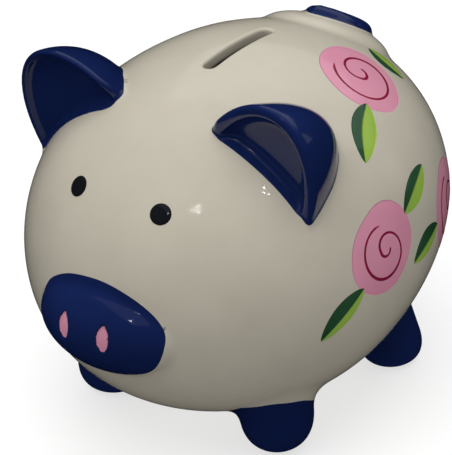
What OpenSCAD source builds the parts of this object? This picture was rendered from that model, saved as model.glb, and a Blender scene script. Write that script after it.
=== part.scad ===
// Hollow ceramic piggy bank with a coin slot in its back and a rubber stopper in its belly.
// The pig stands on z = 0, faces -Y, and its left side is +X.

/* [Body] */
// Width of the egg-shaped body at its widest
body_w = 150; // [144:1:156]
// From the body's centre to its front end, along its own long axis
front_len = 75.5; // [74:0.5:77]
// From the body's centre to its rear end, along its own long axis
rear_len = 95; // [90:1:100]
// From the body's centre to its back
up_len = 70; // [68:1:72]
// From the body's centre to its belly
down_len = 57.5; // [56:0.5:58.5]
// Height of the body's centre above the ground
centre_h = 67; // [66:0.5:68]
// Tilt of the body, nose end down, in degrees
nose_down = 11; // [10:0.5:12]
// Wall of the fired shell at its widest point, on each side
wall = 5; // [4:0.5:6]

/* [Coin slot] */
// Length of the coin slot, along the spine
slot_len = 36; // [28:1:40]
// Width of the coin slot
slot_w = 5; // [4.5:0.5:6]

/* [Snout and face] */
// Width of the snout at its paint line
snout_w = 57; // [55:1:60]
// Height of the snout at its paint line
snout_h = 37; // [35:1:39]
// How far the snout stands out from its seat
snout_out = 12; // [11:0.5:14]
// Width across an eye
eye_d = 7.8; // [6:0.2:9]

/* [Feet] */
// Width of a foot
foot_d = 26.8; // [25:0.2:28]
// Sideways place of the feet, from the centre plane
foot_x = 38; // [37:0.5:39]

/* [Ears] */
// Width of the left ear, from its inner to its outer edge
ear_w = 43; // [41:0.5:45]
// Width of the right ear, which was pressed a little wider
ear_right_w = 49; // [43:0.5:50]

/* [Tail] */
// Width across the curled tail
tail_d = 38; // [36:1:42]

/* [Stopper] */
// Diameter of the stopper hole in the belly
hole_d = 28; // [24:1:30]
// Gap all round between the stopper's neck and the hole
stopper_gap = 0.05; // [0.02:0.01:0.08]

/* [Hidden] */
$fn = 96;

cream = "#cdc6b4";
cobalt = "#1c2a6b";
glaze_black = "#15161a";
glaze_pink = "#d98ba0";
rubber = "#2b2b2b";

// The body's centre sits a little in front of the middle of the whole, because its rear is the longer end
body_y = -5;
side_len = body_w / 2;
// How much shorter and lower the hollow is, besides the wall itself
cavity_shorter = 3;
cavity_lower = 2;
// Larger than the whole pig: the size of the blocks that cut it
big = 300;

// Snout: its flat seat faces the front
snout_seat_y = body_y - 72;
snout_z = 64.5;
snout_gap = 0.4;
// The low collar round the snout: its width at the paint line, its flare and its depth
snout_collar_w = 0.8;
snout_collar_flare = 1.15;
snout_collar_depth = 12;
// Nostrils: upright pits, pointed at both ends like a willow leaf
nostril_x = 8.8;
nostril_z = 66;
nostril_w = 5;
nostril_h = 10.5;
nostril_floor_y = snout_seat_y - 9.8;
nostril_glaze = 0.6;

// Eyes: directions from the body's centre, in degrees, and the depth of their seats
eye_side = 18;
eye_rise = 33.8;
eye_seat = 0.7;
eye_proud = 0.6;

// Feet: a ball with a short neck, flattened a little where it meets the ground
foot_r = foot_d / 2;
foot_flat = 0.6;
front_foot_y = body_y - 25.5;
rear_foot_y = body_y + 44.5;
foot_lip = 1.6;
// How far a foot's neck would run on inside the body if its seat did not end it
foot_sink = 10;
// Collar round a foot: how much wider it is than the foot at its lip and at its root, and its depth
foot_collar_lip = 0.4;
foot_collar_root = 5;
foot_collar_depth = 6;

// Stopper
hole_r = hole_d / 2;
hole_y = body_y + 8;
belly_z = 12.2;
flange_r = hole_r + 4.5;
flange_t = 2.6;
flange_gap = 0.8;
neck_len = 13;
// The neck is a cup; its wall, and the soft bead that holds it in the hole
neck_wall = 5;
neck_bead = 1.2;
// The finger grip is a bar left between two hollows in the flange
grip_r = 9;
grip_w = 6;
grip_depth = 3;

// Half-axis of the egg towards a side: sign chooses between the two ends
function half_y(front) = front ? front_len : rear_len;
function half_z(top) = top ? up_len : down_len;

// Distance from the body's centre to its skin, along a unit direction in the body's own frame
function reach(u) = 1 / norm([u.x / side_len, u.y / half_y(u.y < 0), u.z / half_z(u.z > 0)]);
// Outward direction of the skin at a point, in the body's own frame
function skin_dir(p) =
    let (g = [p.x / pow(side_len, 2), p.y / pow(half_y(p.y < 0), 2), p.z / pow(half_z(p.z > 0), 2)])
    g / norm(g);
// From the body's own frame to the pig's frame, for a direction and for a point
function tilt_dir(v) =
    [v.x, v.y * cos(nose_down) - v.z * sin(nose_down), v.y * sin(nose_down) + v.z * cos(nose_down)];
function tilt_point(p) = tilt_dir(p) + [0, body_y, centre_h];
function untilt_dir(v) =
    [v.x, v.y * cos(nose_down) + v.z * sin(nose_down), -v.y * sin(nose_down) + v.z * cos(nose_down)];
// Skin point and skin direction seen from the centre along any direction v, in the pig's frame
function skin_local(v) = let (u = untilt_dir(v) / norm(v)) u * reach(u);
function skin_point(v) = tilt_point(skin_local(v));
function skin_normal(v) = tilt_dir(skin_dir(skin_local(v)));

// Turns +Z to face along d
module face_along(d) {
    rotate([0, acos(d.z / norm(d)), atan2(d.y, d.x)]) children();
}

// Solid egg: four quarters of ellipsoids that meet smoothly
module egg() {
    translate([0, body_y, centre_h]) rotate([nose_down, 0, 0])
        for (front = [true, false])
            for (top = [true, false])
                intersection() {
                    scale([side_len, half_y(front), half_z(top)]) sphere(r = 1);
                    translate([-big / 2, front ? -big : 0, top ? 0 : -big]) cube(big);
                }
}

// The hollow inside: one smooth ellipsoid; the wall is thinnest behind the ears
module cavity() {
    half_len = (rear_len + front_len) / 2 - wall - cavity_shorter;
    half_h = (up_len + down_len) / 2 - wall - cavity_lower;
    translate([0, body_y, centre_h]) rotate([nose_down, 0, 0])
        translate([0, (rear_len - front_len) / 2, (up_len - down_len) / 2])
            scale([side_len - wall, half_len, half_h]) sphere(r = 1);
}

// Everything below the plane through p that faces along d
module behind_plane(p, d) {
    translate(p) face_along(d) translate([-big / 2, -big / 2, -big]) cube(big);
}

// ---- Feet ----
function foot_centre(side, y) = [side * foot_x, y, foot_r - foot_flat];
// The seat of a foot faces away from the skin above it
function foot_dir(side, y) = skin_normal(foot_centre(side, y) - [0, body_y, centre_h]);
function foot_seat(side, y) =
    skin_point(foot_centre(side, y) - [0, body_y, centre_h]) + foot_dir(side, y) * foot_lip;

module foot(side, y) {
    c = foot_centre(side, y);
    d = foot_dir(side, y);
    neck = (c - foot_seat(side, y)) * d;
    color(cobalt) intersection() {
        translate(c) face_along(-d) {
            sphere(r = foot_r);
            cylinder(r = foot_r, h = neck + foot_sink);
        }
        behind_plane(foot_seat(side, y), -d);
        translate([-big / 2, -big / 2, 0]) cube(big);
    }
}

// Cream collar between the skin and a foot's seat
module foot_collar(side, y) {
    c = foot_centre(side, y);
    d = foot_dir(side, y);
    seat = c - d * ((c - foot_seat(side, y)) * d);
    translate(seat) face_along(-d)
        cylinder(r1 = foot_r + foot_collar_lip, r2 = foot_r + foot_collar_root, h = foot_collar_depth);
}

module every_foot_collar() {
    for (side = [-1, 1])
        for (y = [front_foot_y, rear_foot_y])
            foot_collar(side, y);
}

// ---- Snout and nostrils ----
snout_facets = 56;
module snout_blank() {
    translate([0, snout_seat_y, snout_z]) rotate([90, 0, 0])
        resize([snout_w, snout_h, snout_out]) difference() {
            sphere(r = snout_w / 2, $fn = snout_facets);
            translate([-big / 2, -big / 2, -big]) cube(big);
        }
}

// Short oval block in front of the snout's seat: the space that the snout fills
module snout_seat_cut() {
    translate([0, snout_seat_y, snout_z]) rotate([90, 0, 0])
        scale([snout_w / 2 + snout_gap, snout_h / 2 + snout_gap, 1]) cylinder(r = 1, h = 2 * snout_out);
}

module snout_collar() {
    translate([0, snout_seat_y, snout_z]) rotate([-90, 0, 0])
        scale([snout_w / 2 + snout_collar_w, snout_h / 2 + snout_collar_w, 1])
            cylinder(r1 = 1, r2 = snout_collar_flare, h = snout_collar_depth);
}

// Upright leaf-shaped bar, where two cylinders cross, from the plane y = back forwards
module nostril_bar(side, back, depth) {
    r = (pow(nostril_h, 2) + pow(nostril_w, 2)) / (4 * nostril_w);
    translate([side * nostril_x, back, nostril_z]) rotate([90, 0, 0])
        intersection_for(away = [-1, 1])
            translate([away * (r - nostril_w / 2), 0, 0]) cylinder(r = r, h = depth);
}

module snout() {
    color(cobalt) difference() {
        snout_blank();
        for (side = [-1, 1])
            nostril_bar(side, nostril_floor_y, snout_out);
    }
}

module nostril(side) {
    color(glaze_pink) nostril_bar(side, nostril_floor_y, nostril_glaze);
}

// ---- Eyes ----
function eye_look(side) =
    [side * sin(eye_side) * cos(eye_rise), -cos(eye_side) * cos(eye_rise), sin(eye_rise)];
function eye_floor(side) = skin_point(eye_look(side)) - skin_normal(eye_look(side)) * eye_seat;

module eye_recess(side) {
    translate(eye_floor(side)) face_along(skin_normal(eye_look(side)))
        cylinder(d = eye_d, h = eye_d);
}

// Black bead with a low dome, set in its round seat
module eye(side) {
    rise = eye_seat + eye_proud;
    dome_r = (pow(eye_d / 2, 2) + pow(eye_proud, 2)) / (2 * eye_proud);
    color(glaze_black) translate(eye_floor(side)) face_along(skin_normal(eye_look(side)))
        intersection() {
            cylinder(d = eye_d, h = rise + 1);
            translate([0, 0, rise - dome_r]) sphere(r = dome_r, $fn = 240);
        }
}

// ---- Ears ----
// An ear is a long ellipsoid cut off by an upright plane; its front face is hollowed like a scoop
ear_half_axes = [31.7, 95.8, 49.3];
ear_middle = [17.5, body_y - 81.9, 89.3];
ear_turn = [20.1, 26.5, -9.4];
ear_facets = 56;
// The inner edge of each ear, and their lowest level
ear_in = 18.5;
ear_right_in = 17;
ear_low_z = 96;
// The front face: its place at its upper edge, and how far that edge leans forwards
ear_front_y = body_y - 32.7;
ear_upper_z = 138;
ear_lean = 4.5;
// The ball that hollows the front face
ear_scoop_centre = [41, ear_front_y - 27, 117];
ear_scoop_r = 33;
// The seat of both ears: one large ball that just encloses the skin below them
ear_seat_centre = [0, body_y + 2.7, 58.4];
ear_seat_r = 80.2;
// The pad of clay under an ear, from the ball's centre towards the middle of the ear
ear_pad_way = [42, -19, 60];
ear_pad_r = 8;
ear_pad_depth = 4;

module ear_blank(inner, width) {
    translate([inner, 0, 0]) resize([width, 0, 0]) difference() {
        translate(ear_middle - [ear_in, 0, 0]) rotate(ear_turn)
            scale(ear_half_axes) sphere(r = 1, $fn = ear_facets);
        translate([0, ear_front_y, ear_upper_z]) rotate([ear_lean, 0, 0])
            translate([-big / 2, -big, -big / 2]) cube(big);
        translate(ear_scoop_centre - [ear_in, 0, 0]) sphere(r = ear_scoop_r);
        translate([-big, -big / 2, -big / 2]) cube(big);
        translate([-big / 2, -big / 2, ear_low_z - big]) cube(big);
    }
}

module ear(side) {
    color(cobalt) mirror([side < 0 ? 1 : 0, 0, 0]) difference() {
        ear_blank(side < 0 ? ear_right_in : ear_in, side < 0 ? ear_right_w : ear_w);
        translate(ear_seat_centre) sphere(r = ear_seat_r);
    }
}

// Low pad on the shell that fills the gap under an ear
module ear_pad(side) {
    mirror([side < 0 ? 1 : 0, 0, 0]) intersection() {
        translate(ear_seat_centre) sphere(r = ear_seat_r);
        translate(ear_seat_centre) face_along(ear_pad_way) translate([0, 0, ear_seat_r - ear_pad_depth])
            cylinder(r = ear_pad_r, h = 2 * ear_pad_depth);
    }
}

// ---- Tail ----
// Radius of the tail at its thick outer end, and how much thinner its tip is
tail_tube = 4.8;
tail_thinner = 3;
// The coil winds inwards by this share of its radius
tail_winding = 0.85;
tail_rise = 0.4;
tail_lift = 0.8;
tail_turn = 450;
// How round the two ends are: the radius shrinks in the last few rings, but not to nothing
tail_end_power = 16;
tail_end_least = 0.03;
tail_sides = 16;
tail_rings = 44;
// The mound: how much wider its foot is than the coil, how much narrower its top, and its depth
mound_foot = 1.5;
mound_top = 0.3;
mound_depth = 14;

function tail_look() = [0, 0.8, 0.6];
// Place and radius of the tail's tube at t, from its thick outer end to its thin inner tip
function tail_at(t) =
    let (r = (tail_d / 2 - tail_tube) * (1 - tail_winding * pow(t, 1.5)), a = tail_turn * t)
    [r * cos(a), r * sin(a), tail_rise];
function tail_r(t) =
    (tail_tube - tail_thinner * t) * sqrt(max(tail_end_least, 1 - pow(abs(2 * t - 1), tail_end_power)));
// One ring of the tube: round above, and flat where it lies on the mound
function tail_ring(t) = let (c = tail_at(t), a = tail_turn * t)
    [for (i = [0 : tail_sides - 1]) let (b = 360 * i / tail_sides)
        let (p = c + tail_r(t) * [cos(a) * cos(b), sin(a) * cos(b), sin(b)])
        [p.x, p.y, max(p.z, 0)]];

module on_tail_seat() {
    translate(skin_point(tail_look()) + skin_normal(tail_look()) * tail_lift)
        face_along(skin_normal(tail_look())) rotate([0, 0, 90]) children();
}

// A tapering tube wound inwards for one and a quarter turns, flat where it lies on its mound
module tail() {
    points = [for (k = [0 : tail_rings]) each tail_ring(k / tail_rings)];
    sides = [for (k = [0 : tail_rings - 1], i = [0 : tail_sides - 1])
        let (a = k * tail_sides + i, b = k * tail_sides + (i + 1) % tail_sides)
        each [[a, b, b + tail_sides], [a, b + tail_sides, a + tail_sides]]];
    first = [for (i = [tail_sides - 1 : -1 : 0]) i];
    last = [for (i = [0 : tail_sides - 1]) tail_rings * tail_sides + i];
    color(cobalt) on_tail_seat() polyhedron(points, concat(sides, [first, last]));
}

module tail_mound() {
    on_tail_seat() translate([0, 0, -mound_depth])
        cylinder(r1 = tail_d / 2 + mound_foot, r2 = tail_d / 2 - mound_top, h = mound_depth);
}

// ---- Shell ----
slot_y = body_y + 12;
module coin_slot() {
    straight = (slot_len - slot_w) / 2;
    translate([0, slot_y, centre_h + up_len / 2]) {
        translate([-slot_w / 2, -straight, 0]) cube([slot_w, 2 * straight, up_len]);
        for (end = [-1, 1])
            translate([0, end * straight, 0]) cylinder(d = slot_w, h = up_len);
    }
}

// Round hole in the belly, and the shallow recess that takes the stopper's flange
module stopper_hole() {
    translate([0, hole_y, -belly_z]) {
        cylinder(r = hole_r, h = centre_h / 2);
        cylinder(r = flange_r + flange_gap, h = 2 * belly_z);
    }
}

module body_shell() {
    color(cream) difference() {
        union() {
            egg();
            every_foot_collar();
            snout_collar();
            tail_mound();
            for (side = [-1, 1])
                ear_pad(side);
        }
        cavity();
        coin_slot();
        stopper_hole();
        snout_seat_cut();
        for (side = [-1, 1])
            eye_recess(side);
    }
}

// ---- Stopper ----
module stopper() {
    neck_r = hole_r - stopper_gap;
    cup_r = neck_r - neck_wall;
    color(rubber) translate([0, hole_y, belly_z]) difference() {
        rotate_extrude() polygon([
            [0, -flange_t], [flange_r - 1, -flange_t], [flange_r, -flange_t + 1], [flange_r, 0],
            [neck_r, 0], [neck_r, wall + 1], [neck_r - neck_bead, wall + 2.5], [neck_r, wall + 4.5],
            [neck_r - neck_wall / 2, neck_len], [cup_r, neck_len], [cup_r, flange_t], [0, flange_t]]);
        for (side = [-1, 1])
            intersection() {
                translate([0, 0, -flange_t - 1]) cylinder(r = grip_r, h = grip_depth + 1);
                translate([side > 0 ? grip_w / 2 : -grip_r - grip_w / 2, -grip_r, -flange_t - 1])
                    cube([grip_r, 2 * grip_r, grip_depth + 1]);
            }
    }
}

body_shell();
snout();
nostril(1);  // nostril_left
nostril(-1);  // nostril_right
eye(1);  // eye_left
eye(-1);  // eye_right
ear(1);  // ear_left
ear(-1);  // ear_right
foot(1, front_foot_y);  // foot_front_left
foot(-1, front_foot_y);  // foot_front_right
foot(1, rear_foot_y);  // foot_rear_left
foot(-1, rear_foot_y);  // foot_rear_right
tail();
stopper();
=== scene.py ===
import math

import bpy
import numpy as np
from mathutils import Matrix, Vector


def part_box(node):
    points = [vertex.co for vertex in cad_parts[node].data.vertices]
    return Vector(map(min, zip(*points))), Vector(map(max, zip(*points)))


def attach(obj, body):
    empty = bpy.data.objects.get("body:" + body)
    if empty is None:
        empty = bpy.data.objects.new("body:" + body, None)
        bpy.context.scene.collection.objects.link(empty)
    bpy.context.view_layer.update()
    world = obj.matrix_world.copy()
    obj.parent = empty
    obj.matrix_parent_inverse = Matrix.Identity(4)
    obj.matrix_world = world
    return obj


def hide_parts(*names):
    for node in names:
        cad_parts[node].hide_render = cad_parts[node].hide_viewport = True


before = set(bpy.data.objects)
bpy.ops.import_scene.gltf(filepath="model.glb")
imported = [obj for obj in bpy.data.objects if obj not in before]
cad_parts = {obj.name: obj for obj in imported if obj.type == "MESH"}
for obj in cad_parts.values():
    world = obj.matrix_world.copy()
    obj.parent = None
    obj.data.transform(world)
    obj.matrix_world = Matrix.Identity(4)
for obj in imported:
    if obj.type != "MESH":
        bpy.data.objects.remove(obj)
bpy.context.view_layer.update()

# ---------------------------------------------------------------------------
# The pig's measures, in millimetres, worked out from the boxes of its CAD nodes
# ---------------------------------------------------------------------------


def cad_box(node):
    low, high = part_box(node)
    return np.array(low) * 1000.0, np.array(high) * 1000.0


shell_low, shell_high = cad_box("body_shell")
HALF_WIDTH = shell_high[0]
# The egg's other half-axes, as shares of half its width
FRONT = 1.007 * HALF_WIDTH
REAR = 1.267 * HALF_WIDTH
UP = 0.933 * HALF_WIDTH
DOWN = 0.767 * HALF_WIDTH
TILT = math.radians(11)

FOOT_R = 13.4
FOOT_Z = 12.8
front_low, front_high = cad_box("foot_front_left")
rear_low, rear_high = cad_box("foot_rear_left")
FOOT_X = front_high[0] - FOOT_R
FRONT_Y = front_low[1] + FOOT_R
REAR_Y = rear_high[1] - FOOT_R
CENTRE = np.array([0.0, FRONT_Y + 25.5, 67.0])

snout_low, snout_high = cad_box("snout")
SNOUT_SEAT = snout_high[1]
SNOUT_TIP = snout_low[1]
SNOUT_Z = (snout_low[2] + snout_high[2]) / 2
SNOUT_HALF_W = (snout_high[0] - snout_low[0]) / 2
SNOUT_HALF_H = (snout_high[2] - snout_low[2]) / 2

nostril_low, nostril_high = cad_box("nostril_left")
NOSTRIL_X = (nostril_low[0] + nostril_high[0]) / 2
NOSTRIL_Z = (nostril_low[2] + nostril_high[2]) / 2
NOSTRIL_W = nostril_high[0] - nostril_low[0]
NOSTRIL_H = nostril_high[2] - nostril_low[2]

stopper_low, stopper_high = cad_box("stopper")
HOLE_Y = (stopper_low[1] + stopper_high[1]) / 2
FLANGE_R = (stopper_high[0] - stopper_low[0]) / 2
FLANGE_OVER, FLANGE_THICK, FLANGE_GAP = 4.5, 2.6, 0.8
HOLE_R = FLANGE_R - FLANGE_OVER
HOLE_TOP = 40.0
BELLY_Z = stopper_low[2] + FLANGE_THICK

WALL = 5.0
SLOT_W = 5.0
SLOT_LEN = 36.8
SLOT_Y = CENTRE[1] + 12.4
SLOT_FLOOR = CENTRE[2] + 30

# How widely the inner wall, the slot and the hole are rounded where they meet the skin
CAVITY_EDGE, SLOT_EDGE, HOLE_EDGE = 1.0, 1.3, 0.8

# ---------------------------------------------------------------------------
# Smooth solid shapes as distance fields: negative inside, in millimetres
# ---------------------------------------------------------------------------


def union(a, b, k):
    """Both shapes as one, run together over a band of width k."""
    h = np.maximum(k - np.abs(a - b), 0.0) / k
    return np.minimum(a, b) - h * h * k * 0.25


def cut(a, b, k):
    """a with b taken away, its new edges rounded."""
    return -union(-a, b, k)


def common(a, b, k):
    return -union(-a, -b, k)


def ellipsoid(q, radii):
    """Close to the distance from an ellipsoid round the origin."""
    k0 = np.sqrt(np.sum((q / radii) ** 2, axis=1))
    k1 = np.sqrt(np.sum((q / (radii * radii)) ** 2, axis=1))
    return k0 * (k0 - 1.0) / np.maximum(k1, 1e-9)


def untilt(p):
    """Points in the body's own frame, which leans forwards."""
    d = p - CENTRE
    y = d[:, 1] * math.cos(TILT) + d[:, 2] * math.sin(TILT)
    z = -d[:, 1] * math.sin(TILT) + d[:, 2] * math.cos(TILT)
    return np.stack([d[:, 0], y, z], axis=1)


def egg(p):
    q = untilt(p)
    radii = np.empty_like(q)
    radii[:, 0] = HALF_WIDTH
    radii[:, 1] = np.where(q[:, 1] < 0, FRONT, REAR)
    radii[:, 2] = np.where(q[:, 2] < 0, DOWN, UP)
    return ellipsoid(q, radii)


def cavity(p):
    """Even wall, with a thicker floor round the stopper hole."""
    return np.maximum(egg(p) + WALL, BELLY_Z + WALL - p[:, 2])


SHORTEST_RAY, LONGEST_RAY = 40.0, 120.0


def skin_on_ray(directions):
    """Points of the egg's skin on rays from its centre."""
    d = directions / np.linalg.norm(directions, axis=1)[:, None]
    low, high = np.full(len(d), SHORTEST_RAY), np.full(len(d), LONGEST_RAY)
    for _ in range(40):
        middle = (low + high) / 2
        outside = egg(CENTRE + d * middle[:, None]) > 0
        high = np.where(outside, middle, high)
        low = np.where(outside, low, middle)
    return CENTRE + d * ((low + high) / 2)[:, None]


def slope(field, p, h=0.04):
    """The field and its gradient at each point, from four points round it."""
    corners = np.array([[1, -1, -1], [-1, -1, 1], [-1, 1, -1], [1, 1, 1]], float)
    total = np.zeros_like(p)
    mean = np.zeros(len(p))
    for corner in corners:
        value = field(p + corner * h)
        total += corner * value[:, None]
        mean += value
    return mean / 4, total / (4 * h)


def to_zero(field, p, steps=4, most=1.0):
    """Points moved onto the surface where the field is zero."""
    p = p.copy()
    for _ in range(steps):
        value, gradient = slope(field, p)
        size = np.maximum(np.sum(gradient**2, axis=1), 1e-6)
        move = -gradient * (value / size)[:, None]
        length = np.linalg.norm(move, axis=1)
        move *= np.minimum(1.0, most / np.maximum(length, 1e-9))[:, None]
        p += move
    return p


def egg_normal(p):
    gradient = slope(egg, p)[1]
    return gradient / np.linalg.norm(gradient, axis=1)[:, None]


# ---- Feet ----
# A foot's widths are given on the ground and at this height
FOOT_SPAN = 30.0
# Turns the gap beside the slanted column into a distance
FOOT_SLANT = 0.96
# How far the paint line's middle lies outside the egg
SEAT_OUT = 1.6


class Foot:
    """Upright column with a rounded sole; its blue glaze starts at a slanted line under the body."""

    def __init__(self, side, place, widths, sole_round, blend, tip, start, reach):
        self.side, self.blend, self.start, self.reach = side, blend, start, reach
        self.at = np.array([place[0], place[1], FOOT_Z])
        self.low_r, self.high_r, self.sole_round = widths[0], widths[1], sole_round
        point = skin_on_ray((self.at - CENTRE)[None, :])
        way = egg_normal(point)[0]
        self.seat = point[0] + way * SEAT_OUT
        self.way = way + np.array([tip[0], tip[1], 0.0])
        self.way /= np.linalg.norm(self.way)

    def own(self, p):
        q = p.copy()
        q[:, 0] *= self.side
        return q

    def shape(self, p):
        q = self.own(p)
        rho = np.hypot(q[:, 0] - self.at[0], q[:, 1] - self.at[1])
        radius = self.low_r + (self.high_r - self.low_r) * q[:, 2] / FOOT_SPAN
        return common((rho - radius) * FOOT_SLANT, -q[:, 2], self.sole_round)

    def paint(self, p):
        q = self.own(p)
        return np.maximum(-(q - self.seat) @ self.way + self.start, self.shape(p) - self.reach)


FRONT_PLACE = (FOOT_X + 0.4, FRONT_Y + 0.4)
FRONT_RIGHT_PLACE = (FOOT_X + 1.6, FRONT_Y + 0.6)
REAR_PLACE = (FOOT_X + 0.6, REAR_Y + 1.3)
FRONT_LOOK = {"blend": 6.1, "tip": (0.0, -0.23), "start": -0.8, "reach": 6.0}
REAR_LOOK = {"blend": 6.7, "tip": (0.07, 0.03), "start": -0.5, "reach": 9.0}
REAR_LOOK |= {"widths": (14.5, 6.7), "sole_round": 12.1}
FEET = {
    "foot_front_left": Foot(1, FRONT_PLACE, widths=(13.6, 13.8), sole_round=15.2, **FRONT_LOOK),
    "foot_front_right": Foot(-1, FRONT_RIGHT_PLACE, widths=(13.9, 14.1), sole_round=10.0, **FRONT_LOOK),
    "foot_rear_left": Foot(1, REAR_PLACE, **REAR_LOOK),
    "foot_rear_right": Foot(-1, REAR_PLACE, **REAR_LOOK),
}


def mirrored(p):
    q = p.copy()
    q[:, 0] = np.abs(q[:, 0])
    return q


# ---- Ears ----
# An ear is a slice of a long ellipsoid, cut off in front by a leaning face
EAR_RADII = np.array([32.6, 94.1, 51.0])
EAR_CENTRE = np.array([18.0, CENTRE[1] - 83.2, 90.8])
EAR_FRONT = CENTRE[1] - 31.6
EAR_FRONT_Z = 138.0
EAR_LEAN = math.radians(5.6)
EAR_ROUND = 2.7
EAR_BLEND = 2.1
EAR_AT = np.array([42.0, EAR_FRONT + 10.0, 118.0])
# The inner end is blunt and slanted
EAR_INNER, EAR_RIGHT_INNER = 21.5, 28.0
EAR_END_SLANT = 0.54
EAR_END_ROUND = 3.0
# The right ear is wider than the left one, and set a little outwards, forwards and down
EAR_OUTER = 62.5
EAR_RIGHT_STRETCH = 1.18
EAR_RIGHT_OUT, EAR_RIGHT_AHEAD, EAR_RIGHT_DOWN = 3.6, 1.8, 2.6
# The front face is a shallow bowl inside a rounded rim, which is wider on the left ear
BOWL_RIM, BOWL_RIGHT_RIM = 4.5, 2.0
BOWL_DEPTH = 4.2
BOWL_ROUND, BOWL_EDGE = 5.0, 1.2


def turn(x, y, z):
    """Rotation matrix from angles in degrees."""
    m = Matrix.Rotation(math.radians(z), 3, "Z") @ Matrix.Rotation(math.radians(y), 3, "Y")
    return np.array(m @ Matrix.Rotation(math.radians(x), 3, "X"))


EAR_TURN = turn(23.3, 24.7, -11.8)


def one_ear(q, inner, rim, hollow):
    dome = ellipsoid((q - EAR_CENTRE) @ EAR_TURN, EAR_RADII)
    behind = q[:, 1] - EAR_FRONT
    front = -(behind * math.cos(EAR_LEAN) + (q[:, 2] - EAR_FRONT_Z) * math.sin(EAR_LEAN))
    shape = common(dome, front, EAR_ROUND)
    end = (inner - q[:, 0] - EAR_END_SLANT * behind) / math.hypot(1, EAR_END_SLANT)
    shape = common(shape, end, EAR_END_ROUND)
    if not hollow:
        return shape
    bowl = common(dome + rim, -front - BOWL_DEPTH, BOWL_ROUND)
    return cut(shape, bowl, BOWL_EDGE)


def ear(p, side, hollow=True):
    """The ear on one side; side is 1 for the left and -1 for the right."""
    q = p.copy()
    q[:, 0] *= side
    if side < 0:
        q[:, 0] = EAR_OUTER - (EAR_OUTER + EAR_RIGHT_OUT - q[:, 0]) / EAR_RIGHT_STRETCH
        q[:, 1] += EAR_RIGHT_AHEAD
        q[:, 2] += EAR_RIGHT_DOWN
        return one_ear(q, EAR_RIGHT_INNER, BOWL_RIGHT_RIM, hollow)
    return one_ear(q, EAR_INNER, BOWL_RIM, hollow)


# ---- Snout ----
# The dome is widest behind its seat, and sits a little lower than the glazed outline
SNOUT_ROOT = SNOUT_SEAT + 6.1
SNOUT_AT = np.array([0.0, SNOUT_SEAT, SNOUT_Z])
SNOUT_MIDDLE = np.array([0.0, SNOUT_ROOT, SNOUT_Z - 1.8])
SNOUT_RADII = np.array([SNOUT_HALF_W * 1.065, SNOUT_ROOT - SNOUT_TIP - 0.1, SNOUT_HALF_H - 0.4])
SNOUT_BLEND = 1.6


def snout(q):
    return ellipsoid(q - SNOUT_MIDDLE, SNOUT_RADII)


def nostril(q):
    """Upright leaf-shaped bar through the front of the snout."""
    r = (NOSTRIL_H**2 + NOSTRIL_W**2) / (4 * NOSTRIL_W)
    off = r - NOSTRIL_W / 2
    dx, dz = q[:, 0] - NOSTRIL_X, q[:, 2] - NOSTRIL_Z
    bar = np.maximum(np.hypot(dx - off, dz), np.hypot(dx + off, dz)) - r
    return np.maximum(bar, q[:, 1] - SNOUT_SEAT)


NOSTRIL_AT = np.array([NOSTRIL_X, SNOUT_TIP, NOSTRIL_Z])
NOSTRIL_DEPTH = 0.8
NOSTRIL_ROUND, NOSTRIL_EDGE = 0.5, 0.4


def nostril_pit(q):
    """A shallow pressed mark whose floor runs parallel to the snout's surface."""
    return common(nostril(q), -NOSTRIL_DEPTH - snout(q), NOSTRIL_ROUND)


# ---- Tail ----
tail_low, tail_high = cad_box("tail")
TAIL_D = tail_high[0] - tail_low[0]
TAIL_R = 0.41 * TAIL_D
# The curl is a tube that gets thinner as it winds inwards and rises from the lift to the dome
TAIL_TUBE, TAIL_THINS = 4.85, 0.6
TAIL_WINDS, TAIL_WIND_POWER = 0.85, 1.5
TAIL_LIFT = 0.7
TAIL_DOME = 3.9
TAIL_START = math.radians(8)
TAIL_TURN = math.radians(450)
TAIL_WAY = [-0.04, 0.83, 0.61]
# A low dome fills the gaps between the turns
CORE_SINK, CORE_RISE, CORE_BLEND = 0.3 * TAIL_TUBE, 0.7 * TAIL_TUBE, 1.2
CORE_RADII = np.array([TAIL_R, TAIL_R, TAIL_DOME + CORE_RISE])
# The cream mound under the curl
MOUND_R, MOUND_HIGH, MOUND_SINK = 0.68 * TAIL_D, 7.1, 4.0
MOUND_RADII = np.array([MOUND_R, MOUND_R, MOUND_HIGH])
MOUND_BLEND, TAIL_BLEND = 6.7, 1.5


def frame_at(direction):
    """A point of the skin, two directions along it and the one straight out."""
    point = skin_on_ray(np.array([direction], float))
    n = egg_normal(point)[0]
    side = np.cross([0.0, 0.0, 1.0], n)
    side /= np.linalg.norm(side)
    return point[0], side, np.cross(n, side), n


TAIL_AT, TAIL_SIDE, TAIL_UP, TAIL_N = frame_at(TAIL_WAY)


def tail_line(t):
    """Centre line and radius of the curl, from its outer end at 0 to its middle at 1."""
    r = TAIL_R * (1 - TAIL_WINDS * t**TAIL_WIND_POWER)
    a = TAIL_TURN * t + TAIL_START
    u, v = r * np.cos(a), r * np.sin(a)
    rise = TAIL_LIFT + TAIL_DOME * (1 - (r / TAIL_R) ** 2)
    across = TAIL_UP[None, :] * u[:, None] - TAIL_SIDE[None, :] * v[:, None]
    return TAIL_AT + TAIL_N * rise[:, None] + across, TAIL_TUBE * (1 - TAIL_THINS * t)


TAIL_POINTS, TAIL_RADII = tail_line(np.linspace(0.0, 1.0, 90))


def tail_frame(q, depth):
    d = q - (TAIL_AT + TAIL_N * depth)
    return np.stack([d @ TAIL_SIDE, d @ TAIL_UP, d @ TAIL_N], axis=1)


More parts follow.
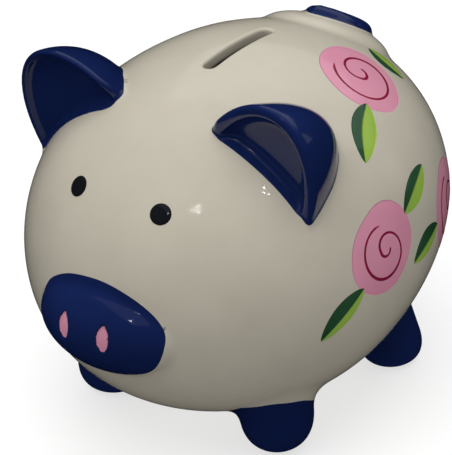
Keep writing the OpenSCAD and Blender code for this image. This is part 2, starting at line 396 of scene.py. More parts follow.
def tail(q):
    nearest = np.full(len(q), np.inf)
    for point, radius in zip(TAIL_POINTS, TAIL_RADII):
        nearest = np.minimum(nearest, np.linalg.norm(q - point, axis=1) - radius)
    return union(nearest, ellipsoid(tail_frame(q, TAIL_LIFT - CORE_SINK), CORE_RADII), CORE_BLEND)


def tail_mound(q):
    return ellipsoid(tail_frame(q, -MOUND_SINK), MOUND_RADII)


def feature(value, p, at, reach, shape, k, how=union):
    """Joins a shape to the field, or cuts it out, for the points within reach of its place."""
    near = np.linalg.norm(p - at, axis=1) < reach
    if near.any():
        value[near] = how(value[near], shape(p[near]), k)


# How far from its place each feature can still matter
FOOT_REACH, EAR_REACH, SNOUT_REACH = 40.0, 50.0, 48.0
MOUND_REACH, TAIL_REACH, NOSTRIL_REACH = 45.0, 34.0, 14.0


def skin(p):
    """The whole outer surface: body, snout, ears, feet and tail run into one another."""
    value = egg(p)
    for foot in FEET.values():
        feature(value, p, foot.at * [foot.side, 1, 1], FOOT_REACH, foot.shape, foot.blend)
    for side in (1, -1):
        feature(value, p, EAR_AT * [side, 1, 1], EAR_REACH, lambda s: ear(s, side), EAR_BLEND)
    feature(value, p, SNOUT_AT, SNOUT_REACH, snout, SNOUT_BLEND)
    feature(value, p, TAIL_AT, MOUND_REACH, tail_mound, MOUND_BLEND)
    feature(value, p, TAIL_AT, TAIL_REACH, tail, TAIL_BLEND)
    feature(value, mirrored(p), NOSTRIL_AT, NOSTRIL_REACH, nostril_pit, NOSTRIL_EDGE, cut)
    return value


def slot(p):
    straight = (SLOT_LEN - SLOT_W) / 2
    along = np.maximum(np.abs(p[:, 1] - SLOT_Y) - straight, 0.0)
    return np.maximum(np.hypot(p[:, 0], along) - SLOT_W / 2, SLOT_FLOOR - p[:, 2])


def stopper_hole(p):
    r = np.hypot(p[:, 0], p[:, 1] - HOLE_Y)
    bore = np.maximum(r - HOLE_R, p[:, 2] - HOLE_TOP)
    recess = np.maximum(r - FLANGE_R - FLANGE_GAP, p[:, 2] - BELLY_Z)
    return np.minimum(bore, recess)


def pig(p):
    value = cut(skin(p), cavity(p), CAVITY_EDGE)
    value = cut(value, slot(p), SLOT_EDGE)
    return cut(value, stopper_hole(p), HOLE_EDGE)


# ---------------------------------------------------------------------------
# From a field to a mesh
# ---------------------------------------------------------------------------


def steps(*parts):
    """Grid lines: (from, to, step) for each stretch."""
    lines = [np.arange(a, b, s) for a, b, s in parts]
    return np.concatenate(lines)


def surface_net(field, xs, ys, zs):
    """One point in each grid cell that the surface crosses, and a four-sided face across each edge."""
    shape = (len(xs), len(ys), len(zs))
    grid = np.stack(np.meshgrid(xs, ys, zs, indexing="ij"), axis=-1).reshape(-1, 3)
    value = np.concatenate([field(part) for part in np.array_split(grid, 12)]).reshape(shape)
    inside = value < 0
    corners = [(a, b, c) for a in (0, 1) for b in (0, 1) for c in (0, 1)]
    cells = tuple(n - 1 for n in shape)
    count = np.zeros(cells, np.int8)
    for a, b, c in corners:
        count += inside[a : a + cells[0], b : b + cells[1], c : c + cells[2]]
    i, j, k = np.nonzero((count > 0) & (count < 8))
    index = np.full(cells, -1, np.int64)
    index[i, j, k] = np.arange(len(i))
    total, found = np.zeros((len(i), 3)), np.zeros(len(i))
    for a in corners:
        for b in corners:
            if sum(b) - sum(a) != 1 or sum(abs(u - v) for u, v in zip(a, b)) != 1:
                continue
            fa = value[i + a[0], j + a[1], k + a[2]]
            fb = value[i + b[0], j + b[1], k + b[2]]
            crossing = (fa < 0) != (fb < 0)
            t = np.where(crossing, fa / np.where(crossing, fa - fb, 1.0), 0.0)
            pa = np.stack([xs[i + a[0]], ys[j + a[1]], zs[k + a[2]]], axis=1)
            pb = np.stack([xs[i + b[0]], ys[j + b[1]], zs[k + b[2]]], axis=1)
            total += np.where(crossing[:, None], pa + (pb - pa) * t[:, None], 0.0)
            found += crossing
    points = total / found[:, None]
    quads = []
    for axis in range(3):
        first = [slice(None)] * 3
        second = [slice(None)] * 3
        first[axis], second[axis] = slice(0, -1), slice(1, None)
        a, b = inside[tuple(first)], inside[tuple(second)]
        at = np.stack(np.nonzero(a != b), axis=1)
        u, v = (axis + 1) % 3, (axis + 2) % 3
        ok = (at[:, u] > 0) & (at[:, v] > 0) & (at[:, u] < cells[u]) & (at[:, v] < cells[v])
        at = at[ok]
        ring = []
        for du, dv in ((-1, -1), (0, -1), (0, 0), (-1, 0)):
            c = at.copy()
            c[:, u] += du
            c[:, v] += dv
            ring.append(index[c[:, 0], c[:, 1], c[:, 2]])
        ring = np.stack(ring, axis=1)
        outward = a[at[:, 0], at[:, 1], at[:, 2]]
        quads.append(np.where(outward[:, None], ring, ring[:, ::-1]))
    return points, np.concatenate(quads)


def relax(field, points, quads, rounds):
    """Spreads the points evenly over the surface."""
    pairs = np.concatenate([np.stack([quads[:, n], quads[:, (n + 1) % 4]], axis=1) for n in range(4)])
    for _ in range(rounds):
        total, number = np.zeros_like(points), np.zeros(len(points))
        for a, b in ((0, 1), (1, 0)):
            for c in range(3):
                total[:, c] += np.bincount(pairs[:, a], points[pairs[:, b], c], len(points))
            number += np.bincount(pairs[:, a], minlength=len(points))
        move = total / number[:, None] - points
        gradient = slope(field, points)[1]
        n = gradient / np.maximum(np.linalg.norm(gradient, axis=1), 1e-9)[:, None]
        move -= n * np.sum(move * n, axis=1)[:, None]
        points = to_zero(field, points + 0.6 * move, 1)
    return points


def triangulated(points, quads):
    """Each four-sided face is cut along the diagonal that folds it least."""
    outward = slope(pig, points[quads].mean(axis=1))[1]
    best = []
    choices = ([0, 1, 2], [0, 2, 3]), ([1, 2, 3], [1, 3, 0])
    for pair in choices:
        worst = np.full(len(quads), 9.0)
        for corners in pair:
            a, b, c = (points[quads[:, n]] for n in corners)
            way = np.cross(b - a, c - a)
            size = np.maximum(np.linalg.norm(way, axis=1), 1e-9)
            worst = np.minimum(worst, np.sum(way * outward, axis=1) / size)
        best.append(worst)
    one = (best[0] >= best[1])[:, None]
    halves = [np.where(one, quads[:, choices[0][n]], quads[:, choices[1][n]]) for n in (0, 1)]
    return np.concatenate(halves)


def cut_along(points, triangles, labels, line, label):
    """Cuts the triangles along line = 0, and gives those where line is negative the new label."""
    value = line(points)
    value = np.where(np.abs(value) < 0.02, 0.02, value)
    inside = value < 0
    count = inside[triangles].sum(axis=1)
    free = labels == 0
    mixed = (count > 0) & (count < 3) & free
    labels = np.where((count == 3) & free, label, labels)
    tri = triangles[mixed]
    odd = np.where((count[mixed] == 1)[:, None], inside[tri], ~inside[tri])
    first = odd.argmax(axis=1)
    rows = np.arange(len(tri))
    a, b, c = (tri[rows, (first + n) % 3] for n in range(3))
    keys = np.concatenate([np.sort(np.stack([a, b], 1), 1), np.sort(np.stack([a, c], 1), 1)])
    edges, where = np.unique(keys, axis=0, return_inverse=True)
    where = where.reshape(-1)
    v0, v1 = value[edges[:, 0]], value[edges[:, 1]]
    t = v0 / (v0 - v1)
    new = points[edges[:, 0]] + (points[edges[:, 1]] - points[edges[:, 0]]) * t[:, None]
    for _ in range(3):
        new = to_zero(line, new, 1, 0.2)
        new = to_zero(pig, new, 1, 0.2)
    ab, ac = where[: len(tri)] + len(points), where[len(tri) :] + len(points)
    lone = np.where(inside[a], label, 0)
    pair = np.where(inside[a], 0, label)
    triangles = np.concatenate(
        [
            triangles[~mixed],
            np.stack([a, ab, ac], 1),
            np.stack([ab, b, c], 1),
            np.stack([ab, c, ac], 1),
        ]
    )
    labels = np.concatenate([labels[~mixed], lone, pair, pair])
    return np.concatenate([points, new]), triangles, labels


def border_loops(triangles):
    edges = np.concatenate([triangles[:, [0, 1]], triangles[:, [1, 2]], triangles[:, [2, 0]]])
    present = set(map(tuple, edges.tolist()))
    follow = {a: b for a, b in present if (b, a) not in present}
    loops = []
    while follow:
        start = next(iter(follow))
        loop = [start]
        after = follow.pop(start)
        while after != start and after in follow:
            loop.append(after)
            after = follow.pop(after)
        loops.append(loop)
    return loops


def capped(points, triangles, sink=2.0):
    """Closes each open border: its edge goes inwards a little way, and a fan closes the far end."""
    points, added, start = list(points), [], len(triangles)
    loops = border_loops(triangles)
    for loop in loops:
        edge = np.array([points[n] for n in loop])
        middle = edge.mean(axis=0)
        ahead = np.roll(edge, -1, axis=0)
        area = np.cross(edge - middle, ahead - middle).sum(axis=0)
        inwards = area / np.linalg.norm(area) * sink
        if np.dot(inwards, middle - CENTRE) > 0:
            inwards = -inwards
        base, count = len(points), len(loop)
        points += list(edge + inwards)
        points.append(middle + inwards)
        for n, a in enumerate(loop):
            m = (n + 1) % count
            added.append((loop[m], a, base + n))
            added.append((loop[m], base + n, base + m))
            added.append((base + m, base + n, base + count))
    if not added:
        return np.array(points), triangles
    return np.array(points), np.concatenate([triangles, np.array(added)])


def finer(points, triangles, line):
    """Each triangle becomes four, with the new points on the true surface and on the paint line."""
    edges = np.concatenate([triangles[:, [0, 1]], triangles[:, [1, 2]], triangles[:, [2, 0]]])
    keys, where, times = np.unique(np.sort(edges, 1), axis=0, return_inverse=True, return_counts=True)
    where = where.reshape(-1)
    middle = points[keys].mean(axis=1)
    rim = times == 1
    middle = to_zero(pig, middle, 3, 0.3)
    for _ in range(3):
        middle[rim] = to_zero(line, middle[rim], 1, 0.2)
        middle[rim] = to_zero(pig, middle[rim], 1, 0.2)
    m = where.reshape(3, -1) + len(points)
    a, b, c = triangles.T
    ab, bc, ca = m
    parts = [(a, ab, ca), (ab, b, bc), (ca, bc, c), (ab, bc, ca)]
    return np.concatenate([points, middle]), np.concatenate([np.stack(s, 1) for s in parts])


def make_object(name, points, triangles, sharp_from=None):
    """A mesh object; edges between the first sharp_from triangles and the rest stay crisp."""
    used, flat = np.unique(triangles, return_inverse=True)
    triangles = flat.reshape(-1, 3)
    points = points[used]
    mesh = bpy.data.meshes.new(name)
    mesh.vertices.add(len(points))
    mesh.vertices.foreach_set("co", (points * 0.001).astype(np.float32).ravel())
    mesh.loops.add(triangles.size)
    mesh.loops.foreach_set("vertex_index", triangles.astype(np.int32).ravel())
    mesh.polygons.add(len(triangles))
    mesh.polygons.foreach_set("loop_start", np.arange(0, triangles.size, 3, dtype=np.int32))
    mesh.update(calc_edges=True)
    mesh.shade_smooth()
    if sharp_from is not None:
        ends = np.empty(len(mesh.edges) * 2, np.int32)
        mesh.edges.foreach_get("vertices", ends)
        pairs = np.sort(ends.reshape(-1, 2), axis=1).astype(np.int64)
        keys = pairs[:, 0] * len(points) + pairs[:, 1]
        sides = [side_keys(part, len(points)) for part in (triangles[:sharp_from], triangles[sharp_from:])]
        crisp = np.isin(keys, sides[0]) & np.isin(keys, sides[1])
        mesh.edges.foreach_set("use_edge_sharp", crisp)
    mesh.validate()
    obj = bpy.data.objects.new(name, mesh)
    bpy.context.scene.collection.objects.link(obj)
    return obj


def side_keys(triangles, count):
    pairs = np.concatenate([triangles[:, [0, 1]], triangles[:, [1, 2]], triangles[:, [2, 0]]])
    pairs = np.sort(pairs, axis=1).astype(np.int64)
    return np.unique(pairs[:, 0] * count + pairs[:, 1])


# ---------------------------------------------------------------------------
# Paint lines: negative where the other colour lies
# ---------------------------------------------------------------------------


def wobble(p, size, amount, seed):
    """A slow unevenness of a hand-painted edge."""
    rng = np.random.default_rng(seed)
    total = np.zeros(len(p))
    for _ in range(4):
        way = rng.normal(size=3)
        way *= rng.uniform(0.7, 1.6) * 2 * math.pi / (size * np.linalg.norm(way))
        total += np.sin(p @ way + rng.uniform(0, 6.28))
    return total * amount / 4


# The value of a paint line far from its feature: no paint
NO_PAINT = 9.0
# Paint ends this deep inside the skin, so that it stays off the inner wall
PAINT_DEEP = 2.5
# How far the blue paint runs past the foot of an ear and of the tail
EAR_BAND, TAIL_BAND = 0.4, 0.5
FOOT_PAINT_REACH = 34.0
# The snout's paint ends this far behind its seat
SNOUT_PAINT_BACK = 20.0


def near_skin(p, value):
    return np.maximum(value, -egg(p) - PAINT_DEEP)


def paint_line(at, reach, outline):
    """A line that counts only within reach of a place."""

    def line(p):
        value = np.full(len(p), NO_PAINT)
        near = np.linalg.norm(p - at, axis=1) < reach
        value[near] = outline(p[near])
        return value

    return line


def ear_line(side):
    """The whole ear and a narrow band round it, with the bowl's floor."""

    def outline(p):
        return near_skin(p, ear(p, side, False) - EAR_BAND + wobble(p, 14.0, 0.1, 3))

    return paint_line(EAR_AT * [side, 1, 1], EAR_REACH, outline)


def foot_line(foot, seed):
    def outline(p):
        return near_skin(p, foot.paint(p) + wobble(p, 16.0, 0.3, seed))

    return paint_line(foot.at * [foot.side, 1, 1], FOOT_PAINT_REACH, outline)


def snout_outline(p):
    q = p - SNOUT_AT
    round_it = np.hypot(q[:, 0] / SNOUT_HALF_W, q[:, 2] / SNOUT_HALF_H)
    outline = (round_it - 1) * SNOUT_HALF_H + wobble(p, 18.0, 0.2, 5)
    return np.maximum(outline, q[:, 1] - SNOUT_PAINT_BACK)


def nostril_line(side):
    return paint_line(NOSTRIL_AT * [side, 1, 1], NOSTRIL_REACH, lambda p: nostril(mirrored(p)) + 0.1)


def tail_outline(p):
    return near_skin(p, tail(p) - TAIL_BAND)


LINES = {
    "nostril_left": nostril_line(1),
    "nostril_right": nostril_line(-1),
    "snout": paint_line(SNOUT_AT, SNOUT_REACH, snout_outline),
    "ear_left": ear_line(1),
    "ear_right": ear_line(-1),
    "tail": paint_line(TAIL_AT, TAIL_REACH, tail_outline),
}
for seed, (node, foot) in enumerate(FEET.items(), start=11):
    LINES[node] = foot_line(foot, seed)

# The grid is finer across the coin slot and along the rims of the ears
coarse = 1.25
XS = steps((-78, -5, coarse), (-5, 5, 0.5), (5, 79, coarse))
YS = steps((-93, 94, coarse))
ZS = steps((-1.6, 128, coarse), (128, 141, coarse / 2), (141, 149, coarse))
RELAX_ROUNDS = 7

points, quads = surface_net(pig, XS, YS, ZS)
points = to_zero(pig, points, 4)
points = relax(pig, points, quads, RELAX_ROUNDS)
points = to_zero(pig, points, 2)
triangles = triangulated(points, quads)
labels = np.zeros(len(triangles), int)
for number, (node, line) in enumerate(LINES.items(), start=1):
    points, triangles, labels = cut_along(points, triangles, labels, line, number)

visual = {}


def piece(node, points, triangles):
    closed_points, closed_triangles = capped(points, triangles)
    visual[node] = make_object("pig_" + node, closed_points, closed_triangles, len(triangles))


piece("body_shell", points, triangles[labels == 0])
for number, (node, line) in enumerate(LINES.items(), start=1):
    used, flat = np.unique(triangles[labels == number], return_inverse=True)
    piece(node, *finer(points[used], flat.reshape(-1, 3), line))

# ---------------------------------------------------------------------------
# Eyes and painted flowers: thin films of glaze that follow the skin
# ---------------------------------------------------------------------------


# How far the underside of a film of glaze lies below the skin
FILM_SUNK = 0.06


class Patch:
    """A round map of the skin: two angles, in degrees, from a middle direction."""

    def __init__(self, longitude, latitude):
        lo, la = math.radians(longitude), math.radians(latitude)
        self.d = np.array([math.cos(la) * math.cos(lo), math.cos(la) * math.sin(lo), math.sin(la)])
        self.e = np.array([-math.sin(lo), math.cos(lo), 0.0])
        self.n = np.cross(self.d, self.e)

    def skin(self, uv):
        angle = np.radians(np.hypot(uv[:, 0], uv[:, 1]))
        way = np.arctan2(uv[:, 1], uv[:, 0])
        side = np.cos(way)[:, None] * self.e + np.sin(way)[:, None] * self.n
        return skin_on_ray(np.cos(angle)[:, None] * self.d + np.sin(angle)[:, None] * side)


def film(name, patch, uv, height, wrap):
    """A closed thin sheet from a grid of map points; height is its rise above the skin at each.

    With wrap, the rows are rings, and the first ring is closed with a fan to the map's middle."""
    rows, cols = height.shape
    flat, rise = uv.reshape(-1, 2), height.reshape(-1)
    if wrap:
        flat = np.concatenate([flat, np.zeros((1, 2))])
        rise = np.append(rise, height[0].mean())
    base = to_zero(skin, patch.skin(flat), 2, 0.5)
    normal = slope(skin, base)[1]
    normal /= np.linalg.norm(normal, axis=1)[:, None]
    top = base + normal * rise[:, None]
    bottom = base - normal * FILM_SUNK
    n = len(flat)
    quads, fan = [], []
    across = cols if wrap else cols - 1
    for r in range(rows - 1):
        for c in range(across):
            a, b = r * cols + c, r * cols + (c + 1) % cols
            quads.append((a, b, b + cols, a + cols))
            quads.append((n + a, n + a + cols, n + b + cols, n + b))
    rim = []
    if wrap:
        last = (rows - 1) * cols
        rim += [(last + c, last + (c + 1) % cols) for c in range(cols)]
        fan += [(n - 1, (c + 1) % cols, c) for c in range(cols)]
        fan += [(2 * n - 1, n + c, n + (c + 1) % cols) for c in range(cols)]
    else:
        rim += [(c + 1, c) for c in range(cols - 1)]
        rim += [((rows - 1) * cols + c, (rows - 1) * cols + c + 1) for c in range(cols - 1)]
        rim += [(r * cols, (r + 1) * cols) for r in range(rows - 1)]
        rim += [((r + 1) * cols + cols - 1, r * cols + cols - 1) for r in range(rows - 1)]
    quads += [(b, a, n + a, n + b) for a, b in rim]
    every = np.concatenate([top, bottom])
    quads = np.array(quads)
    faces = np.concatenate([quads[:, [0, 1, 2]], quads[:, [0, 2, 3]], np.array(fan, int).reshape(-1, 3)])
    way = np.cross(every[faces[0, 1]] - every[faces[0, 0]], every[faces[0, 2]] - every[faces[0, 0]])
    if np.sum(way * normal[0]) < 0:
        faces = faces[:, ::-1]
    return make_object(name, every, faces)


def lift(share, height, edge):
    """Rounded rim: share is 0 at the rim and grows inwards."""
    x = np.clip(share / edge, 0.0, 1.0)
    return height * np.sqrt(1 - (1 - x) ** 2)


def disc(name, longitude, latitude, radius_of, height, edge):
    """A round film whose radius, in degrees, is a function of the way from its middle."""
    rows, cols = 26, 120
    share = np.linspace(0.04, 1.0, rows) ** 0.85
    way = np.linspace(0, 2 * math.pi, cols, endpoint=False)
    radius = radius_of(way)
    u = share[:, None] * (radius * np.cos(way))[None, :]
    v = share[:, None] * (radius * np.sin(way))[None, :]
    rise = lift((1 - share)[:, None] * radius[None, :], height, edge)
    return film(name, Patch(longitude, latitude), np.stack([u, v], -1), rise, True)


eye_low, eye_high = cad_box("eye_left")
EYE_WAY = (eye_low + eye_high) / 2 - CENTRE
EYE_LAT = math.degrees(math.asin(EYE_WAY[2] / np.linalg.norm(EYE_WAY)))
EYE_LON = math.degrees(math.atan2(EYE_WAY[1], EYE_WAY[0]))
EYE_R = math.degrees(3.9 / np.linalg.norm(EYE_WAY))
EYE_HIGH, EYE_EDGE = 0.55, 2.4


def eye_radius(way):
    """Slightly oval, as brushed by hand."""
    return EYE_R * (1 + 0.02 * np.cos(2 * way))


for side, longitude in (("left", EYE_LON), ("right", 180 - EYE_LON)):
    name = "pig_eye_" + side
    visual["eye_" + side] = disc(name, longitude, EYE_LAT, eye_radius, EYE_HIGH, EYE_EDGE)

painted = []
ROSE_HIGH, ROSE_EDGE = 0.10, 0.35
LINE_WINDS = math.radians(638)
LINE_WIDTH = 0.46


def rose(name, longitude, latitude, radius, stretch, stretch_way, spiral_size, shift, flip=1):
    """A round pink blob with a spiral brush line on it; flip is -1 for its mirror image."""
    way0 = math.radians(stretch_way)
    seed = int(abs(longitude) * 10)
    patch = Patch(longitude, latitude)

    def outline(way):
        turned = way if flip > 0 else math.pi - way
        ripple = 0.012 * np.cos(3 * turned + seed) + 0.01 * np.cos(5 * turned + 2 * seed)
        return radius * (1 + stretch * np.cos(2 * (turned - way0)) + ripple)

    blob = disc(name, longitude, latitude, outline, ROSE_HIGH, ROSE_EDGE)
    painted.append((blob, "pink_glaze"))
    # The brush line winds outwards for nearly two turns and ends on a round outer ring
    turns, cols = 260, 7
    theta = np.linspace(0.0, LINE_WINDS, turns)
    u = theta / (2 * math.pi)
    x = np.clip((u - 0.5) / 0.6, 0, 1)
    r = 1.7 + 0.6 * np.minimum(u, 1) + 5.9 * x * x * (3 - 2 * x)
    drift = np.clip(u, 0, 1)
    middle = np.stack([1.3 * (1 - drift), 0.2 - 0.4 * drift], 1)
    line = middle + r[:, None] * np.stack([np.cos(theta), -np.sin(theta)], 1)
    line = (line * spiral_size + np.array(shift)) * np.array([flip, 1])
    along = np.gradient(line, axis=0)
    along /= np.linalg.norm(along, axis=1)[:, None]
    across = np.stack([-along[:, 1], along[:, 0]], 1)
    share = np.linspace(0, 1, turns)
    ends = np.minimum(1, 30 * np.minimum(share, 1 - share) + 0.3)
    width = LINE_WIDTH * (0.85 + 0.15 * np.sin(theta * 1.3 + seed)) * ends
    offsets = np.linspace(-1, 1, cols)
    uv = line[:, None, :] + across[:, None, :] * (offsets[None, :, None] * width[:, None, None])
    rise = ROSE_HIGH + 0.07 * np.sqrt(np.clip(1 - offsets**2, 0, 1))[None, :] * np.ones((turns, 1))
    brush = film(name + "_line", patch, uv, rise, False)
    painted.append((brush, "rose_line_glaze"))


LEAF_EDGE = 0.3


def leaf(name, longitude, latitude, base, tip, dark, middle, light, flip=1):
    """Two halves that meet on a midrib; the three numbers are offsets from the line base to tip."""
    base, tip = np.array(base), np.array(tip)
    patch = Patch(longitude, latitude)
    along = (tip - base) / np.linalg.norm(tip - base)
    across = np.array([along[1], -along[0]])
    if dark < light:
        across, dark, middle, light = -across, -dark, -middle, -light
    rows, cols = 40, 10
    s = np.linspace(0.0, 1.0, rows)
    bulge = np.sin(math.pi * s**0.95) ** 0.7
    rib = middle * np.sin(math.pi * s)
    for half, edge in (("dark", dark), ("light", light)):
        t = np.linspace(0, 1, cols)
        offset = rib[:, None] + (edge * bulge - rib)[:, None] * t[None, :]
        uv = (base + (tip - base) * s[:, None])[:, None, :] + across * offset[:, :, None]
        uv = uv * np.array([flip, 1])
        inner_gap = t[None, :] * np.abs(edge * bulge - rib)[:, None] + 0.12
        outer_gap = (1 - t)[None, :] * abs(edge)
        rise = lift(np.minimum(inner_gap, outer_gap), 0.13 if half == "dark" else 0.11, LEAF_EDGE)
        painted.append((film(name + "_" + half, patch, uv, rise, False), "leaf_" + half + "_glaze"))


# Name, longitude and latitude of the middle, radius, stretch and its way, size and shift of the line
ROSES = [
    ("rose_top", 43.9, 48.5, 12.3, 0.02, 40.0, 1.0, (0.0, 0.0)),
    ("rose_side", -1.6, 12.6, 12.3, 0.09, 35.0, 0.9, (-0.6, -0.6)),
    ("rose_rear", 38.6, 4.5, 11.8, 0.03, 20.0, 0.95, (0.0, 0.0)),
]
# Name, longitude and latitude, base, tip, and how far the dark edge, rib and light edge lie off that line
LEAVES = [
    ("leaf_a", 13.2, 43.2, (10.9, 3.3), (-6.0, -7.4), 5.3, 2.0, -3.1),
    ("leaf_b", 65.6, 39.4, (2.5, 1.5), (-6.0, -6.5), 4.7, 1.8, -3.0),
    ("leaf_c", 18.0, 22.3, (9.6, 0.8), (-7.2, -4.8), 3.4, 0.3, -3.8),
    ("leaf_d", -20.6, 1.3, (8.9, 4.0), (-5.8, -7.1), 3.9, 0.0, -2.5),
    ("leaf_e", 16.5, 5.9, (9.9, -0.2), (-6.3, -3.5), 4.0, 0.0, -3.0),
]
# Each flower is painted on both flanks, as a mirror image. On the right they sit lower, out of sight
RIGHT_LOWER = 7.0
for make, entries in ((rose, ROSES), (leaf, LEAVES)):
    for name, longitude, latitude, *rest in entries:
        make(name + "_left", longitude, latitude, *rest)
        make(name + "_right", 180 - longitude, latitude - RIGHT_LOWER, *rest, flip=-1)

# ---------------------------------------------------------------------------
# Glazes
# ---------------------------------------------------------------------------


def nodes_of(name):
    material = bpy.data.materials.new(name)
    material.use_nodes = True
    tree = material.node_tree
    tree.nodes.clear()
    out = tree.nodes.new("ShaderNodeOutputMaterial")
    shader = tree.nodes.new("ShaderNodeBsdfPrincipled")
    tree.links.new(shader.outputs["BSDF"], out.inputs["Surface"])
    place = tree.nodes.new("ShaderNodeTexCoord")
    return material, tree, shader, place.outputs["Object"]


def noise(tree, place, scale, detail=3.0, rough=0.5):
    n = tree.nodes.new("ShaderNodeTexNoise")
    n.inputs["Scale"].default_value = scale
    n.inputs["Detail"].default_value = detail
    n.inputs["Roughness"].default_value = rough
    tree.links.new(place, n.inputs["Vector"])
    return n.outputs["Fac"]


def ramp(tree, value, low, high, first, second):
    n = tree.nodes.new("ShaderNodeMapRange")
    n.inputs["From Min"].default_value = low
    n.inputs["From Max"].default_value = high
    n.inputs["To Min"].default_value = first
    n.inputs["To Max"].default_value = second
    tree.links.new(value, n.inputs["Value"])
    return n.outputs["Result"]


# Sockets of the Mix node when it mixes colours
MIX_SHARE, MIX_FIRST, MIX_SECOND, MIX_RESULT = 0, 6, 7, 2


def mixed(tree, share, first, second):
    """Two colours mixed; each is a plain colour or another node's output."""
    n = tree.nodes.new("ShaderNodeMix")
    n.data_type = "RGBA"
    for socket, value in ((MIX_FIRST, first), (MIX_SECOND, second)):
        if isinstance(value, tuple):
            n.inputs[socket].default_value = (*value, 1.0)
        else:
            tree.links.new(value, n.inputs[socket])
    tree.links.new(share, n.inputs[MIX_SHARE])
    return n.outputs[MIX_RESULT]


def bump(tree, shader, height, strength, distance):
    n = tree.nodes.new("ShaderNodeBump")
    n.inputs["Strength"].default_value = strength
    n.inputs["Distance"].default_value = distance
    tree.links.new(height, n.inputs["Height"])
    tree.links.new(n.outputs["Normal"], shader.inputs["Normal"])


GLAZE_ROUGH, GLAZE_WORN = 0.07, 0.19
GLAZE_IOR = 1.5
SPECK_SHARE = 0.05
WAVE_STRENGTH, WAVE_HEIGHT = 0.25, 0.0008


def glaze(name, light, deep, specks):
    """Glossy glaze: clouded between two tones, with fine specks, scuffs and slow waves."""
    material, tree, shader, place = nodes_of(name)
    cloud = ramp(tree, noise(tree, place, 28.0, 4.0, 0.55), 0.3, 0.7, 0.0, 1.0)
    colour = mixed(tree, cloud, light, deep)
    dots = ramp(tree, noise(tree, place, 900.0, 1.0, 0.4), 0.74, 0.80, 0.0, SPECK_SHARE)
    colour = mixed(tree, dots, colour, specks)
    tree.links.new(colour, shader.inputs["Base Color"])
    scuffs = ramp(tree, noise(tree, place, 140.0, 5.0, 0.65), 0.45, 0.8, GLAZE_ROUGH, GLAZE_WORN)
    tree.links.new(scuffs, shader.inputs["Roughness"])
    shader.inputs["IOR"].default_value = GLAZE_IOR
    bump(tree, shader, noise(tree, place, 55.0, 2.0, 0.4), WAVE_STRENGTH, WAVE_HEIGHT)
    return material


# Each glaze's lighter tone, deeper tone and specks
GLAZES = {
    "cream_glaze": ((0.50, 0.465, 0.385), (0.455, 0.42, 0.345), (0.25, 0.2, 0.14)),
    "cobalt_glaze": ((0.007, 0.016, 0.080), (0.005, 0.012, 0.062), (0.02, 0.04, 0.15)),
    "pink_glaze": ((0.64, 0.28, 0.37), (0.57, 0.23, 0.33), (0.7, 0.45, 0.5)),
    "black_glaze": ((0.008, 0.009, 0.011), (0.005, 0.006, 0.008), (0.03, 0.03, 0.03)),
    "rose_line_glaze": ((0.26, 0.012, 0.045), (0.17, 0.008, 0.035), (0.4, 0.1, 0.15)),
    "leaf_dark_glaze": ((0.025, 0.085, 0.04), (0.012, 0.05, 0.02), (0.1, 0.2, 0.1)),
    "leaf_light_glaze": ((0.30, 0.45, 0.06), (0.22, 0.38, 0.06), (0.5, 0.6, 0.2)),
}
MATERIALS = {name: glaze(name, *tones) for name, tones in GLAZES.items()}


def rubber():
    """Matt black rubber, a little cloudy and grained."""
    material, tree, shader, place = nodes_of("stopper_rubber")
    cloud = noise(tree, place, 120.0, 4.0, 0.6)
    colour = mixed(tree, cloud, (0.018, 0.018, 0.019), (0.032, 0.031, 0.030))
    tree.links.new(colour, shader.inputs["Base Color"])
    tree.links.new(ramp(tree, cloud, 0.3, 0.7, 0.55, 0.75), shader.inputs["Roughness"])
    bump(tree, shader, noise(tree, place, 1500.0, 2.0, 0.5), 0.3, 0.0002)
    return material


MATERIALS["stopper_rubber"] = rubber()


def dress(obj, slot_name):
    obj.data.materials.clear()
    obj.data.materials.append(MATERIALS[slot_name])


SLOTS = {
    "body_shell": "cream_glaze",
    "nostril_left": "pink_glaze",
    "nostril_right": "pink_glaze",
    "eye_left": "black_glaze",
    "eye_right": "black_glaze",
}
for node, obj in visual.items():
    dress(obj, SLOTS.get(node, "cobalt_glaze"))
    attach(obj, "bank")
    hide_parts(node)
for obj, slot_name in painted:
    dress(obj, slot_name)
    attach(obj, "bank")

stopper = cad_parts["stopper"]
stopper.data.materials.clear()
stopper.data.materials.append(MATERIALS["stopper_rubber"])

# ---------------------------------------------------------------------------
# Floor, light and camera
# ---------------------------------------------------------------------------
FLOOR_REACH = 4.0
floor_mesh = bpy.data.meshes.new("floor")
corners = [(x * FLOOR_REACH, y * FLOOR_REACH, 0) for x, y in ((-1, -1), (1, -1), (1, 1), (-1, 1))]
floor_mesh.from_pydata(corners, [], [(0, 1, 2, 3)])
floor = bpy.data.objects.new("floor", floor_mesh)
bpy.context.scene.collection.objects.link(floor)
paper, _, paper_shader, _ = nodes_of("pale_floor")
paper_shader.inputs["Base Color"].default_value = (0.35, 0.35, 0.35, 1.0)
paper_shader.inputs["Roughness"].default_value = 0.8
paper_shader.inputs["Emission Color"].default_value = (1.0, 1.0, 1.0, 1.0)
paper_shader.inputs["Emission Strength"].default_value = 0.68
floor.visible_glossy = False
floor.visible_diffuse = False
floor.data.materials.append(paper)

world = bpy.data.worlds.new("studio")
bpy.context.scene.world = world
world.use_nodes = True
world.node_tree.nodes["Background"].inputs["Color"].default_value = (1.0, 1.0, 1.0, 1.0)
world.node_tree.nodes["Background"].inputs["Strength"].default_value = 0.50
world.cycles_visibility.glossy = False


PIG_MIDDLE = Vector((0.0, 0.0, 0.07))


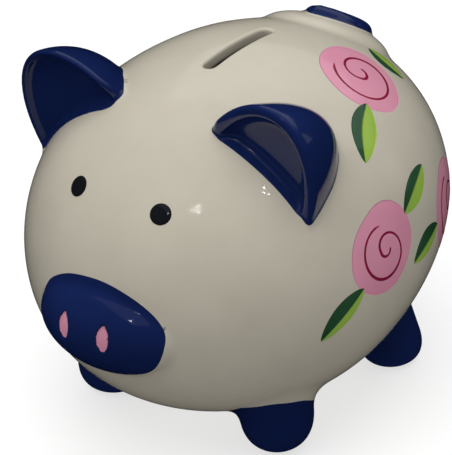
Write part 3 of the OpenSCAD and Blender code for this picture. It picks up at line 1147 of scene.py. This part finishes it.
def area_light(name, place, size, power, shines):
    """A lamp aimed at the pig. One that shines gives highlights only, and the others light only."""
    data = bpy.data.lights.new(name, "AREA")
    data.shape = "RECTANGLE"
    data.size, data.size_y = size
    data.energy = power
    lamp = bpy.data.objects.new(name, data)
    lamp.location = place
    lamp.rotation_euler = (PIG_MIDDLE - Vector(place)).to_track_quat("-Z", "Y").to_euler()
    lamp.visible_glossy = shines
    lamp.visible_diffuse = not shines
    bpy.context.scene.collection.objects.link(lamp)


# Name, place, size, power and whether it shines
area_light("overhead", (0.05, -0.25, 1.3), (1.4, 1.4), 17.0, False)
area_light("room", (0.2, 0.3, 2.0), (4.0, 4.0), 9.0, True)
area_light("back_sheen", (-0.1, 1.0, 1.3), (2.4, 1.2), 4.0, True)
area_light("window", (1.13, 1.61, 0.42), (0.3, 0.5), 0.15, True)
# Clusters of small lamps give the sparkles on the snout and beside the left ear
SPOT_SIZE, SPOT_POWER = (0.012, 0.012), 0.05
CLUSTERS = {
    "lamp_front": (0.95, [(0.17, -0.80), (0.21, -0.77), (0.25, -0.79), (0.21, -0.72)]),
    "lamp_side": (1.02, [(0.62, -0.18), (0.68, -0.24), (0.74, -0.21)]),
}
for cluster, (height, places) in CLUSTERS.items():
    for n, (x, y) in enumerate(places):
        area_light("%s_%d" % (cluster, n), (x, y, height), SPOT_SIZE, SPOT_POWER, True)

# The camera looks at a target from an azimuth and elevation, rolled a little to one side
AZIMUTH, ELEVATION, ROLL = math.radians(40.24), math.radians(29.9), math.radians(-3.92)
DISTANCE = 1.03125
camera_data = bpy.data.cameras.new("camera")
camera_data.sensor_width = 36.0
camera_data.lens = 221.7
camera = bpy.data.objects.new("camera", camera_data)
bpy.context.scene.collection.objects.link(camera)
target = Vector((-0.0005, CENTRE[1] / 1000 - 0.0005, 0.0683))
level = Vector((math.sin(AZIMUTH), -math.cos(AZIMUTH), 0.0))
back = level * math.cos(ELEVATION) + Vector((0.0, 0.0, math.sin(ELEVATION)))
right = Vector((math.cos(AZIMUTH), math.sin(AZIMUTH), 0.0))
up = back.cross(right)
rolled_right = right * math.cos(ROLL) + up * math.sin(ROLL)
rolled_up = -right * math.sin(ROLL) + up * math.cos(ROLL)
turned = Matrix((rolled_right, rolled_up, back)).transposed().to_4x4()
camera.matrix_world = Matrix.Translation(target + back * DISTANCE) @ turned
camera_data.clip_start, camera_data.clip_end = 0.01, 50.0
bpy.context.scene.camera = camera
bpy.context.scene.view_settings.view_transform = "Standard"
